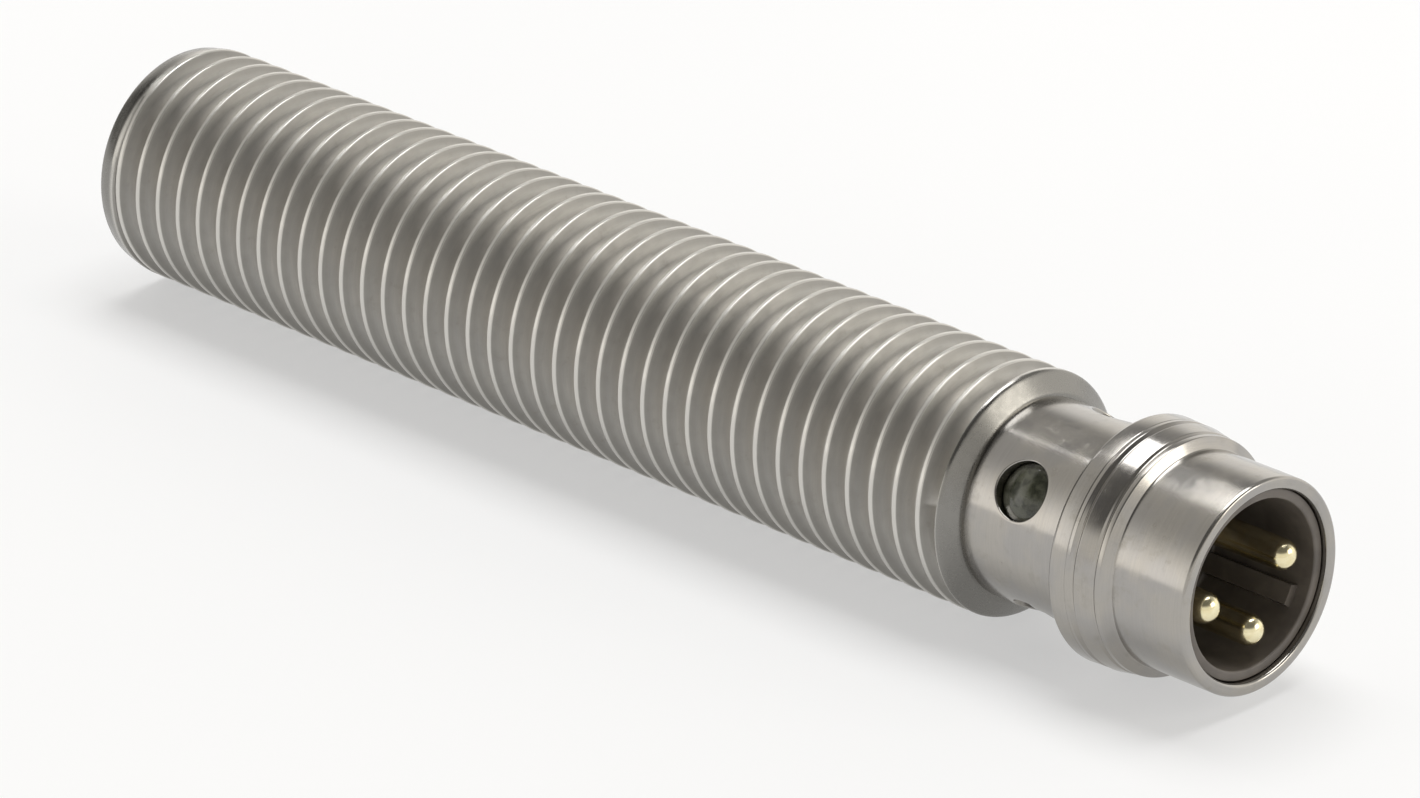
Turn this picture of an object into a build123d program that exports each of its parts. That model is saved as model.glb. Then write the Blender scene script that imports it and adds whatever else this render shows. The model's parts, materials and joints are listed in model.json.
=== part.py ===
from build123d import *

import math
import os

# Proximity sensor, M8x1, flush mounting, with an 8 mm snap-in plug.
# Millimetres. +X runs from the sensing face to the plug, +Z is up.
# The origin is the centre of the sensing face.
# A pair is a start and an end along X, unless its comment says otherwise.

# Barrel and its thread
BARREL_LENGTH = 39.25
BARREL_BORE = 3.0
LAND_RADIUS = 4.0
FRONT_CHAMFER = 0.15
REAR_LAND_END = 38.75
PITCH = 1.0
THREAD_DEPTH = 0.6134 * PITCH
GROOVE_WIDTH = PITCH * 7 / 8
ROOT_WIDTH = PITCH / 6
GROOVE_START = 0.725
GROOVE_COUNT = 38

# Connector shell
OVERALL_LENGTH = 48.5
NECK_RADIUS = 3.25
NECK_BORE = 2.75
SPIGOT_START = 37.0
SPIGOT_RADIUS = 2.97
SPIGOT_BORE = 2.65
SPIGOT_BORE_END = 39.6
SOCKET_START = 43.4
SOCKET_BORE = 3.07
TUBE_START = 45.62
TUBE_RADIUS = 3.48

# The collar's three tapered ridges, each with x, radius and rounding at its start and end
RIDGES = [
    ((43.45, 4.0, 0.15), (44.27, 3.98, 0.04)),
    ((44.52, 3.97, 0.05), (45.08, 3.88, 0.08)),
    ((45.27, 3.85, 0.05), (45.42, 3.80, 0.05)),
]
# The round bottoms of the two grooves between them, as x, radius and rounding
GROOVES = [(44.395, 3.83, 0.05), (45.175, 3.76, 0.05)]

# Indicator windows in the neck
WINDOW_X = 41.18
WINDOW_RADIUS = 0.95
WINDOW_ANGLE = 147.6  # from +Y towards +Z
WINDOW_COUNT = 4
WINDOW_RECESS = 0.08
GUIDE = (40.0, 42.35)
GUIDE_BORE = 2.2

# Contacts. The contacts and the board share one roll about the axis.
ROLL = 10.5
CONTACT_CIRCLE = 1.75
CONTACT_RADIUS = 0.5
CONTACT_TIP = 48.27
CONTACT_ANGLES = {"contact_pin_1": 0.0, "contact_pin_3": 180.0, "contact_pin_4": 270.0}
COLLET_RADIUS = 0.65
COLLET = (42.55, 43.3)
SHANK_RADIUS = 0.35
TAIL = (39.9, 42.3)
TAIL_HALF_WIDTH = 0.2
TAIL_HEIGHT = 0.45
UPPER_TAIL_TOP = 0.1

# Insert that holds the contacts, and its seal
INSERT_START = 42.5
INSERT_FLOOR = 44.3
INSERT_MOUTH = 48.27
INSERT_BORE = 2.72
INSERT_FIT = 0.03  # gap all round between the insert and the shell
KEY_ANGLE = -29.0
KEY_WIDTH = 0.7
KEY_HEIGHT = 0.3
KEY_SETBACK = 0.5
SEAL_GROOVE = (43.63, 44.07)
SEAL_GROOVE_RADIUS = 2.62
SEAL_CENTRE = (43.85, 2.83)  # x and radius
SEAL_SECTION = 0.2

# Board, in the rolled frame
BOARD_TOP = -0.4
BOARD_BOTTOM = -1.2
BOARD = (5.6, 41.8)
BOARD_HALF_WIDTH = 2.25
NOSE_END = 7.2
NOSE_HALF_WIDTH = 1.6
BOARD_TAIL_START = 36.6
BOARD_TAIL_HALF_WIDTH = 1.75
VIA_PLACES = (9.0, 17.5, 24.5, 34.8)
VIA_Y = 1.95
VIA_RADIUS = 0.15
LED_X = 41.15

# Front end
CAP_RADIUS = 2.97
CAP_BORE = 2.72
CAP_FACE = 0.6
CAP_LENGTH = 6.8
CAP_ROUNDING = 0.08
CORE = (0.65, 3.15)
CORE_RADIUS = 2.65
CORE_WALL_BORE = 2.2
CORE_POST_RADIUS = 0.85
CORE_FLOOR = 2.55
BOBBIN = (0.75, 2.5)
BOBBIN_WALL = 0.14
WINDING_RADIUS = 1.95
WINDING_TURNS = 8
HOLDER = (3.2, 6.6)
LEAD_Y = 1.25
LEAD_RADIUS = 0.1
LEAD_HOLE_RADIUS = 0.15
LEAD_END = 7.9
SLEEVE = (7.0, 36.8)
SLEEVE_RADII = (2.72, 2.95)

# Gap between a piece and the hole that it sits in, and how far a cut runs past a surface
GAP = 0.02
CUT_PAST = 0.5


def lathe(outline):
    """Turn a closed outline about the X axis. Each corner is x, radius and, if round, its rounding."""
    face = make_face(Polyline(*[corner[:2] for corner in outline], close=True))
    for corner in outline:
        if len(corner) == 3:
            vertex = face.vertices().sort_by_distance(corner[:2])[0]
            face = fillet(vertex, corner[2])
    return revolve(face, Axis.X)


def tube(span, inner, outer):
    """Straight tube about the X axis."""
    return lathe([(span[0], inner), (span[1], inner), (span[1], outer), (span[0], outer)])


def rod(span, radius, y=0.0, z=0.0):
    """Round bar along X, centred on y and z."""
    return extrude(Plane.YZ.offset(span[0]) * Pos(y, z) * Circle(radius), span[1] - span[0])


def block(x, y, z):
    """Rectangular block between two values on each axis."""
    size = (x[1] - x[0], y[1] - y[0], z[1] - z[0])
    return Pos(x[0], y[0], z[0]) * Box(*size, align=(Align.MIN, Align.MIN, Align.MIN))


def rolled_group(parts):
    """Separate solids in one node, turned from the board's frame to the sensor's."""
    return Compound(children=[Rot(X=ROLL) * part for part in parts])


def around(shape, angles):
    """Copies of a shape, turned about the X axis."""
    return [Rot(X=angle) * shape for angle in angles]


def polar(radius, angle):
    """Point at a radius and an angle in degrees."""
    return (radius * math.cos(math.radians(angle)), radius * math.sin(math.radians(angle)))


def threaded_barrel():
    """Steel tube with thread grooves at the pitch between two plain lands."""
    outline = [
        (0.0, BARREL_BORE),
        (0.0, LAND_RADIUS - FRONT_CHAMFER),
        (FRONT_CHAMFER, LAND_RADIUS),
    ]
    for turn in range(GROOVE_COUNT):
        left = GROOVE_START + PITCH * turn
        centre = left + GROOVE_WIDTH / 2
        outline += [
            (left, LAND_RADIUS),
            (centre - ROOT_WIDTH / 2, LAND_RADIUS - THREAD_DEPTH),
            (centre + ROOT_WIDTH / 2, LAND_RADIUS - THREAD_DEPTH),
            (left + GROOVE_WIDTH, LAND_RADIUS),
        ]
    outline += [
        (BARREL_LENGTH, LAND_RADIUS, BARREL_LENGTH - REAR_LAND_END),
        (BARREL_LENGTH, BARREL_BORE),
    ]
    return lathe(outline)


def sensing_face_cap():
    """Plastic cup that closes the front and lines the coil."""
    return lathe([
        (0.0, 0.0),
        (0.0, CAP_RADIUS, CAP_ROUNDING),
        (CAP_LENGTH, CAP_RADIUS),
        (CAP_LENGTH, CAP_BORE),
        (CAP_FACE, CAP_BORE),
        (CAP_FACE, 0.0),
    ])


def lead_holes(span):
    """Clearance holes for the two coil leads, in the rolled frame."""
    z = BOARD_TOP + LEAD_RADIUS
    return [rod(span, LEAD_HOLE_RADIUS, side * LEAD_Y, z) for side in (-1, 1)]


def ferrite_core():
    """Half pot core, open towards the sensing face."""
    rounding = 0.1
    core = lathe([
        (CORE[0], CORE_WALL_BORE),
        (CORE[0], CORE_RADIUS, rounding),
        (CORE[1], CORE_RADIUS, rounding),
        (CORE[1], 0.0),
        (CORE[0], 0.0),
        (CORE[0], CORE_POST_RADIUS),
        (CORE_FLOOR, CORE_POST_RADIUS),
        (CORE_FLOOR, CORE_WALL_BORE),
    ])
    return Rot(X=ROLL) * (core - lead_holes((CORE_FLOOR - CUT_PAST, CORE[1] + CUT_PAST)))


def coil_bobbin():
    """Flanged plastic spool round the core's post."""
    inner = CORE_POST_RADIUS + GAP
    outer = CORE_WALL_BORE - GAP
    front = BOBBIN[0] + BOBBIN_WALL
    back = BOBBIN[1] - BOBBIN_WALL
    spool = lathe([
        (BOBBIN[0], inner),
        (BOBBIN[1], inner),
        (BOBBIN[1], outer),
        (back, outer),
        (back, inner + BOBBIN_WALL),
        (front, inner + BOBBIN_WALL),
        (front, outer),
        (BOBBIN[0], outer),
    ])
    return Rot(X=ROLL) * (spool - lead_holes((back - GAP, BOBBIN[1] + CUT_PAST)))


def coil_winding():
    """Wound copper, with the outer turns of wire showing as ridges."""
    inner = CORE_POST_RADIUS + BOBBIN_WALL + 2 * GAP
    outer = WINDING_RADIUS
    ridge = 0.05
    start = BOBBIN[0] + BOBBIN_WALL + GAP
    end = BOBBIN[1] - BOBBIN_WALL - GAP
    width = (end - start) / WINDING_TURNS
    edges = [
        Line((start, outer), (start, inner)),
        Line((start, inner), (end, inner)),
        Line((end, inner), (end, outer)),
    ]
    for turn in range(WINDING_TURNS):
        left = start + width * turn
        crown = (left + width / 2, outer + ridge)
        edges.append(ThreePointArc((left, outer), crown, (left + width, outer)))
    return revolve(make_face(edges), Axis.X)


def coil_lead_wires():
    """The coil's two ends, straight back to the board."""
    span = (BOBBIN[1] - BOBBIN_WALL, LEAD_END)
    z = BOARD_TOP + LEAD_RADIUS
    wires = [rod(span, LEAD_RADIUS, side * LEAD_Y, z) for side in (-1, 1)]
    return rolled_group(wires)


def core_holder():
    """Plug behind the core, with a slot for the nose of the board."""
    body = rod(HOLDER, CAP_BORE - 2 * GAP)
    past_end = HOLDER[1] + CUT_PAST
    slot = block(
        (BOARD[0] - GAP, past_end),
        (-NOSE_HALF_WIDTH - GAP, NOSE_HALF_WIDTH + GAP),
        (BOARD_BOTTOM - GAP, BOARD_TOP + GAP),
    )
    finger_pocket = block((HOLDER[1] - 1.0, past_end), (-1.0, 1.0), (0.6, 2.0))
    holes = lead_holes((HOLDER[0] - CUT_PAST, past_end))
    return Rot(X=ROLL) * (body - slot - finger_pocket - holes)


def insulation_sleeve():
    """Plastic tube between the board and the barrel."""
    return tube(SLEEVE, *SLEEVE_RADII)


def circuit_board():
    """Long board with a narrow nose at the coil and a narrow tail in the plug."""
    thickness = (BOARD_BOTTOM, BOARD_TOP)
    nose = block((BOARD[0], NOSE_END), (-NOSE_HALF_WIDTH, NOSE_HALF_WIDTH), thickness)
    middle = block((NOSE_END, BOARD_TAIL_START), (-BOARD_HALF_WIDTH, BOARD_HALF_WIDTH), thickness)
    tail = block((BOARD_TAIL_START, BOARD[1]), (-BOARD_TAIL_HALF_WIDTH, BOARD_TAIL_HALF_WIDTH), thickness)
    board = nose + middle + tail
    drill_length = BOARD_TOP - BOARD_BOTTOM + 2 * CUT_PAST
    for x in VIA_PLACES:
        for y in (-VIA_Y, VIA_Y):
            board -= Pos(x, y, (BOARD_TOP + BOARD_BOTTOM) / 2) * Cylinder(VIA_RADIUS, drill_length)
    return Rot(X=ROLL) * board


def chip(x, y, length, width, height, cap, top=True):
    """Two-terminal chip part: a body between two slightly larger end caps."""
    low = BOARD_TOP if top else BOARD_BOTTOM - height
    lift = 0.02
    body = block(
        (x - length / 2 + cap, x + length / 2 - cap),
        (y - width / 2 + lift, y + width / 2 - lift),
        (low + lift, low + height - lift),
    )
    for end in (x - length / 2, x + length / 2 - cap):
        body += block((end, end + cap), (y - width / 2, y + width / 2), (low, low + height))
    return body


def sensor_ic():
    """Flat square package with pads along two sides and a pin-one dimple."""
    centre = 12.0
    half = 1.5
    top = BOARD_TOP + 0.85
    package = block((centre - half, centre + half), (-half, half), (BOARD_TOP + GAP, top))
    package = chamfer(package.faces().sort_by(Axis.Z)[-1].edges(), 0.06)
    pad_count = 6
    pad_pitch = 0.5
    pad_half_width = 0.12
    for step in range(pad_count):
        x = centre + pad_pitch * (step - (pad_count - 1) / 2)
        for side in (-1, 1):
            edges = sorted((side * (half - 0.3), side * (half + 0.06)))
            package += block((x - pad_half_width, x + pad_half_width), edges, (BOARD_TOP, BOARD_TOP + 0.2))
    dimple_offset = 1.1
    package -= Pos(centre - dimple_offset, -dimple_offset, top) * Cylinder(0.15, 0.1)
    return Rot(X=ROLL) * package


def gull_leg(x, y, side):
    """Bent lead of a small package: foot, rise and shoulder."""
    width = (x - 0.2, x + 0.2)
    metal = 0.13
    knee = BOARD_TOP + 0.6
    foot = block(width, sorted((y, y + side * 0.45)), (BOARD_TOP, BOARD_TOP + metal))
    rise = block(width, sorted((y, y + side * metal)), (BOARD_TOP, knee))
    shoulder = block(width, sorted((y - side * 0.3, y + side * metal)), (knee - metal, knee))
    return foot + rise + shoulder


def output_transistor():
    """Three-legged package that switches the output."""
    centre = 22.0
    half_length = 1.45
    half_width = 0.65
    leg_y = 0.75
    leg_spacing = 0.95
    package = block((centre - half_length, centre + half_length), (-half_width, half_width),
                    (BOARD_TOP + 0.1, BOARD_TOP + 1.05))
    package = chamfer(package.faces().sort_by(Axis.Z)[-1].edges(), 0.1)
    for x in (centre - leg_spacing, centre + leg_spacing):
        package += gull_leg(x, -leg_y, -1)
    package += gull_leg(centre, leg_y, 1)
    return Rot(X=ROLL) * package


def diode(centre, half_length, half_width, height):
    """Moulded diode with a flat terminal folded under each end."""
    package = block((centre - half_length, centre + half_length), (-half_width, half_width),
                    (BOARD_TOP + 0.08, BOARD_TOP + height))
    package = chamfer(package.faces().sort_by(Axis.Z)[-1].edges(), 0.12)
    metal = 0.1
    terminal = (-half_width * 0.6, half_width * 0.6)
    for side in (-1, 1):
        outer = centre + side * (half_length + metal)
        foot = sorted((centre + side * (half_length - 0.6), outer))
        riser = sorted((centre + side * (half_length - metal), outer))
        package += block(foot, terminal, (BOARD_TOP, BOARD_TOP + 0.14))
        package += block(riser, terminal, (BOARD_TOP, BOARD_TOP + height / 2))
    return Rot(X=ROLL) * package


def chip_resistors():
    """Small resistors on both sides of the board."""
    size = {"length": 1.0, "width": 0.5, "height": 0.35, "cap": 0.22}
    top_places = [(15.2, -1.2), (15.2, 1.2), (17.0, 0.0), (18.6, -1.2), (18.6, 1.2)]
    bottom_places = [(13.0, 0.9), (16.0, 0.9), (19.0, 0.9)]
    parts = [chip(x, y, **size) for x, y in top_places]
    parts += [chip(x, y, **size, top=False) for x, y in bottom_places]
    return rolled_group(parts)


def chip_capacitors():
    """Supply and filter capacitors on both sides of the board."""
    small = {"length": 1.6, "width": 0.8, "height": 0.8, "cap": 0.3}
    large = {"length": 2.0, "width": 1.25, "height": 0.95, "cap": 0.4}
    top_places = [(9.0, -0.9), (9.0, 0.9), (35.6, 0.9)]
    bottom_places = [(23.0, -0.6), (28.0, -0.6)]
    parts = [chip(x, y, **small) for x, y in top_places]
    parts += [chip(x, y, **large, top=False) for x, y in bottom_places]
    return rolled_group(parts)


def status_leds():
    """Four light-emitting chips, one for each window."""
    size = {"length": 1.0, "width": 0.6, "height": 0.4, "cap": 0.2}
    parts = []
    for top, y in ((True, 0.7), (False, 0.95)):
        for side in (-1, 1):
            parts.append(chip(LED_X, side * y, **size, top=top))
    return rolled_group(parts)


def solder_joints():
    """Fillets of solder at the coil leads and the contact tails."""
    joints = []
    half_width = 0.25
    height = 0.26
    span = (NOSE_END + 0.1, LEAD_END + 0.2)
    for side in (-1, 1):
        y = side * LEAD_Y
        joint = block(span, (y - half_width, y + half_width), (BOARD_TOP, BOARD_TOP + height))
        joint = chamfer(joint.faces().sort_by(Axis.Z)[-1].edges(), 0.1)
        joints.append(joint - rod((NOSE_END, LEAD_END), LEAD_RADIUS, y, BOARD_TOP + LEAD_RADIUS))
    for side in (-1, 1):
        inner = side * (CONTACT_CIRCLE - TAIL_HALF_WIDTH)
        joints.append(solder_wedge(inner, -side, BOARD_TOP, 1))
        joints.append(solder_wedge(side * TAIL_HALF_WIDTH, side, BOARD_BOTTOM, -1))
    return rolled_group(joints)


def solder_wedge(y, side, z, up):
    """Triangular fillet between a contact's tail and the board."""
    leg = 0.24
    length = 0.6
    outline = make_face(Polyline((y, z), (y + side * leg, z), (y, z + up * leg), close=True))
    return extrude(Plane.YZ.offset(TAIL[0] + 0.05) * outline, length)


def potting_compound():
    """Resin that seals the board where it enters the connector shell."""
    plug = rod((SPIGOT_START + 0.2, BARREL_LENGTH), SPIGOT_BORE - GAP)
    passage = block(
        (SPIGOT_START - CUT_PAST, BARREL_LENGTH + CUT_PAST),
        (-BOARD_TAIL_HALF_WIDTH, BOARD_TAIL_HALF_WIDTH),
        (BOARD_BOTTOM, BOARD_TOP),
    )
    return Rot(X=ROLL) * (plug - passage)


def window_angles():
    """Angle of each indicator window."""
    return [WINDOW_ANGLE + 360 / WINDOW_COUNT * index for index in range(WINDOW_COUNT)]


def window_bar(radius, start):
    """Radial bar through one window along +Y, from a start to well outside the neck."""
    length = NECK_RADIUS + CUT_PAST - start
    bar = Cylinder(radius, length, align=(Align.CENTER, Align.CENTER, Align.MIN))
    return Pos(WINDOW_X, start, 0) * Rot(X=-90) * bar


def connector_shell():
    """Turned shell: spigot, neck with windows, ridged collar and socket tube."""
    outline = [
        (SPIGOT_START, SPIGOT_BORE),
        (SPIGOT_START, SPIGOT_RADIUS, 0.1),
        (BARREL_LENGTH, SPIGOT_RADIUS),
        (BARREL_LENGTH, NECK_RADIUS),
        (RIDGES[0][0][0], NECK_RADIUS, 0.06),
    ]
    outline += [*RIDGES[0], GROOVES[0], *RIDGES[1], GROOVES[1], *RIDGES[2]]
    outline += [
        (TUBE_START, TUBE_RADIUS, 0.1),
        (OVERALL_LENGTH, TUBE_RADIUS, 0.13),
        (OVERALL_LENGTH, SOCKET_BORE, 0.12),
        (SOCKET_START, SOCKET_BORE),
        (SOCKET_START, NECK_BORE),
        (SPIGOT_BORE_END, NECK_BORE),
        (SPIGOT_BORE_END, SPIGOT_BORE),
    ]
    shell = lathe(outline)
    for hole in around(window_bar(WINDOW_RADIUS, NECK_BORE - CUT_PAST), window_angles()):
        shell -= hole
    return shell


def light_guide_ring():
    """Clear ring in the neck with one domed boss in each window."""
    outer = NECK_BORE - INSERT_FIT
    ring = tube(GUIDE, GUIDE_BORE, outer)
    for boss in around(window_bar(WINDOW_RADIUS - GAP, (GUIDE_BORE + outer) / 2), window_angles()):
        ring += boss
    return ring & rod(GUIDE, NECK_RADIUS - WINDOW_RECESS)


def contact_carrier():
    """Plastic insert: a plug that holds the contacts and a liner up to the mouth."""
    outer = SOCKET_BORE - INSERT_FIT
    plug_radius = NECK_BORE - INSERT_FIT
    shoulder = SOCKET_START + GAP
    carrier = lathe([
        (INSERT_START, 0.0),
        (INSERT_START, plug_radius),
        (shoulder, plug_radius),
        (shoulder, outer),
        (SEAL_GROOVE[0], outer),
        (SEAL_GROOVE[0], SEAL_GROOVE_RADIUS),
        (SEAL_GROOVE[1], SEAL_GROOVE_RADIUS),
        (SEAL_GROOVE[1], outer),
        (INSERT_MOUTH, outer),
        (INSERT_MOUTH, INSERT_BORE, 0.1),
        (INSERT_FLOOR, INSERT_BORE, 0.15),
        (INSERT_FLOOR, 0.0),
    ])
    key = block(
        (INSERT_FLOOR - KEY_HEIGHT, INSERT_MOUTH - KEY_SETBACK),
        (INSERT_BORE - KEY_HEIGHT, (INSERT_BORE + outer) / 2),
        (-KEY_WIDTH / 2, KEY_WIDTH / 2),
    )
    carrier += Rot(X=KEY_ANGLE) * key
    start = INSERT_START - CUT_PAST
    for angle in CONTACT_ANGLES.values():
        y, z = polar(CONTACT_CIRCLE, angle)
        hole = rod((start, INSERT_FLOOR + CUT_PAST), CONTACT_RADIUS + GAP, y, z)
        pocket = rod((start, COLLET[1] + GAP), COLLET_RADIUS + GAP, y, z)
        carrier -= Rot(X=ROLL) * (hole + pocket)
    return carrier


def carrier_seal():
    """Rubber ring in the insert's groove."""
    return revolve(Pos(*SEAL_CENTRE) * Circle(SEAL_SECTION), Axis.X)


def contact_pin(angle):
    """Turned contact: round tip, wide root in the insert and a flat tail for the board."""
    y, z = polar(CONTACT_CIRCLE, angle)
    pin = lathe([
        (COLLET[0], 0.0),
        (COLLET[0], COLLET_RADIUS, 0.08),
        (COLLET[1], COLLET_RADIUS),
        (COLLET[1], CONTACT_RADIUS),
        (CONTACT_TIP, CONTACT_RADIUS, CONTACT_RADIUS - 0.01),
        (CONTACT_TIP, 0.0),
    ])
    lap = 0.1
    pin += rod((TAIL[1] - lap, COLLET[0] + lap), SHANK_RADIUS)
    pin = Pos(0, y, z) * pin
    flat = (BOARD_TOP, UPPER_TAIL_TOP)
    if z < BOARD_BOTTOM:
        flat = (BOARD_BOTTOM - TAIL_HEIGHT, BOARD_BOTTOM)
    pin += block((TAIL[0], TAIL[1] + lap), (y - TAIL_HALF_WIDTH, y + TAIL_HALF_WIDTH), flat)
    return Rot(X=ROLL) * pin


def main():
    """Write one STEP file for each piece."""
    pieces = {
        "threaded_barrel": threaded_barrel(),
        "sensing_face_cap": sensing_face_cap(),
        "ferrite_core": ferrite_core(),
        "coil_bobbin": coil_bobbin(),
        "coil_winding": coil_winding(),
        "coil_lead_wires": coil_lead_wires(),
        "core_holder": core_holder(),
        "insulation_sleeve": insulation_sleeve(),
        "circuit_board": circuit_board(),
        "sensor_ic": sensor_ic(),
        "output_transistor": output_transistor(),
        "suppressor_diode": diode(27.2, 2.1, 1.3, 1.6),
        "polarity_diode": diode(32.6, 1.3, 0.8, 1.1),
        "chip_resistors": chip_resistors(),
        "chip_capacitors": chip_capacitors(),
        "status_leds": status_leds(),
        "solder_joints": solder_joints(),
        "potting_compound": potting_compound(),
        "connector_shell": connector_shell(),
        "light_guide_ring": light_guide_ring(),
        "contact_carrier": contact_carrier(),
        "carrier_seal": carrier_seal(),
    }
    for name, angle in CONTACT_ANGLES.items():
        pieces[name] = contact_pin(angle)
    os.makedirs("parts", exist_ok=True)
    for name, shape in pieces.items():
        export_step(shape, f"parts/{name}.step")


main()
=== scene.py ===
import json
import math

import bmesh
import bpy
from mathutils import Matrix, Vector


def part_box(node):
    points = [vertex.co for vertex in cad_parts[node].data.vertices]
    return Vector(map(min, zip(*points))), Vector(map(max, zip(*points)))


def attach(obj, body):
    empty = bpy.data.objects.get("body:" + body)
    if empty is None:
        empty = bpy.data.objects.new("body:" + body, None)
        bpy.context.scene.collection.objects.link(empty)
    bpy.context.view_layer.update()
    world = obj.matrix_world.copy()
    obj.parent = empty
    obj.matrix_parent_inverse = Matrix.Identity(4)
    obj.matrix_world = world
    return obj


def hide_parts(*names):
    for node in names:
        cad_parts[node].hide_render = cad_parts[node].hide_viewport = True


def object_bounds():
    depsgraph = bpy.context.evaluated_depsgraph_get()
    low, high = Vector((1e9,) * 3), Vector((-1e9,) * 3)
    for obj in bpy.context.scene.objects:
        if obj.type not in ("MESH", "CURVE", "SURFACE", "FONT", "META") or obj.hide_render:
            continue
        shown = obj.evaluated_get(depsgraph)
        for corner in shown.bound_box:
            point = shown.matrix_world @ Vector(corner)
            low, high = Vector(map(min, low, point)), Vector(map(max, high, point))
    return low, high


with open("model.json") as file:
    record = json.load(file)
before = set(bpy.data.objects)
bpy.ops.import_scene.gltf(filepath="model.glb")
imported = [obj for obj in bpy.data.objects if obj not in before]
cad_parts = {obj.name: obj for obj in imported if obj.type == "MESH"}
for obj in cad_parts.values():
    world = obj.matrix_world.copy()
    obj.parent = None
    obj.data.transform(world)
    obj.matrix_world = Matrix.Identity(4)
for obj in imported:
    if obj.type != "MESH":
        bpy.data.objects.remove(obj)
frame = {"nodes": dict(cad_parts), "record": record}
cad_low, cad_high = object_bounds()
nodes = frame["nodes"]
mounts = {mount["name"]: mount for mount in frame["record"]["mounts"]}

# Lengths are in millimetres until a mesh is made.
# A radius is from the sensor's axis, unless a comment says otherwise.
MM = 0.001
barrel_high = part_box("threaded_barrel")[1] / MM
shell_low, shell_high = [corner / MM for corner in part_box("connector_shell")]
guide_low, guide_high = [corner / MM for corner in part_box("light_guide_ring")]
carrier_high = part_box("contact_carrier")[1] / MM

# Barrel
BARREL_LENGTH = barrel_high.x
BARREL_RADIUS = barrel_high.y
BARREL_BORE = 3.0
BARREL_COLUMNS = 144
# The barrel's blank at its ends, as (x, radius): a tapered land in front and a chamfer at the rear
FRONT_EDGE = [
    (0.0, 3.80), (0.03, 3.85), (0.08, 3.88), (0.35, 3.935), (0.55, 3.975), (0.70, 3.99), (0.80, 3.995),
]
REAR_EDGE = [
    (38.78, 3.995), (38.84, 3.975), (38.89, 3.915), (38.93, 3.855),
    (39.17, 3.475), (39.20, 3.425), (39.235, 3.365), (BARREL_LENGTH, 3.315),
]

# Thread: right-hand, one start
PITCH = 1.0
THREAD_DEPTH = 0.6134 * PITCH
CREST_AT = 0.523  # where a crest crosses the +Y side, from the sensing face
# Half of the thread's profile as (share of the pitch, depth), from the middle of a crest to that of a root
HALF_PROFILE = [
    (0.0, 0.0), (0.050, 0.001), (0.064, 0.004), (0.078, 0.018), (0.093, 0.042), (0.110, 0.068),
    (0.39, 0.522), (0.445, 0.598), (0.5, THREAD_DEPTH),
]
# The share of its depth that the thread has along x, where it starts and where it ends
THREAD_FADE = [(0.60, 0.0), (1.15, 1.0), (38.40, 1.0), (38.76, 0.0)]
# Where the smoother cut of the front land ends, and where that of the rear chamfer starts; both ends also get
# a darker tone, which on the rear chamfer is painted shade
FRONT_CUT = (0.5, 0.8)
REAR_CUT = (38.74, 38.84)

# Connector shell: spigot in the barrel, neck, collar and the plug's tube
SPIGOT_RADIUS = 2.97
SPIGOT_BORE = 2.65
SPIGOT_ROUNDING = 0.1
NECK_RADIUS = 3.25
NECK_BORE = 2.75
NECK_BORE_SPAN = (39.6, 43.4)
NECK_END = 43.0
# The collar's ridges and grooves as (x, radius, rounding), with a fine line on the first ridge
COLLAR = [
    (43.45, NECK_RADIUS, 0.06), (43.45, 3.994, 0.15),
    (44.10, 3.962, 0.02), (44.12, 3.948, 0.01), (44.14, 3.962, 0.02), (44.27, 3.96, 0.05),
    (44.395, 3.83, 0.05), (44.52, 3.965, 0.05), (45.09, 3.865, 0.06),
    (45.175, 3.76, 0.05), (45.26, 3.84, 0.04), (45.43, 3.83, 0.05),
]
TUBE_START = 45.62
TUBE_RADIUS = mounts["connector_tube"]["dims"]["r_mm"]
TUBE_BORE = 3.07
TUBE_ROOT_ROUNDING = 0.08
TUBE_OUTER_ROUNDING = 0.13
TUBE_INNER_ROUNDING = 0.12
OVERALL_LENGTH = shell_high.x

# Windows in the neck, each cut out of a square patch of the shell's grid
WINDOW_X = (guide_low.x + guide_high.x) / 2
WINDOW_ANGLE = 147.6
WINDOW_RADIUS = 0.95  # about the window's own axis
WINDOW_COUNT = 4
WINDOW_LIP = 0.05
WINDOW_RINGS = 6
WINDOW_LIP_STEPS = 5
PATCH_CELLS = 16
PATCH_HALF_LENGTH = 1.25
CELL_ANGLE = 3.0

# Light guide: a ring behind the neck and a domed lens in each window, with heights from the sensor's axis
GUIDE_BORE = 2.2
GUIDE_GAP = 0.03
GUIDE_COLUMNS = 96
LENS_FOOT = 2.55
LENS_EDGE = 2.88
LENS_TOP = 3.17
LENS_STEPS = 16
LENS_COLUMNS = 64

# Insert: a stem in the shell, a groove for the seal, and the socket with its key rib
INSERT_START = 42.5
INSERT_RADIUS = 3.04
INSERT_BORE = mounts["connector_interface"]["dims"]["r_mm"]
STEM_RADIUS = 2.72
STEM_END = 43.42
GROOVE_RADIUS = 2.62
GROOVE_SPAN = (43.63, 44.07)
SOCKET_FLOOR = 44.3
FLOOR_ROUNDING = 0.12
MOUTH_OUTER_ROUNDING = 0.04
MOUTH_INNER_ROUNDING = 0.08
KEY_ANGLE = -29.0
KEY_HALF_ANGLE = 7.6
KEY_HEIGHT = 0.3
KEY_SETBACK = 0.5
KEY_SIDES = (-0.98, -0.5, 0.0, 0.5, 0.98)  # the rib's columns, as shares of its half angle
WALL_STEPS = 116
SQUARE_STEP = 0.0001  # length of a step that has to look square

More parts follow.
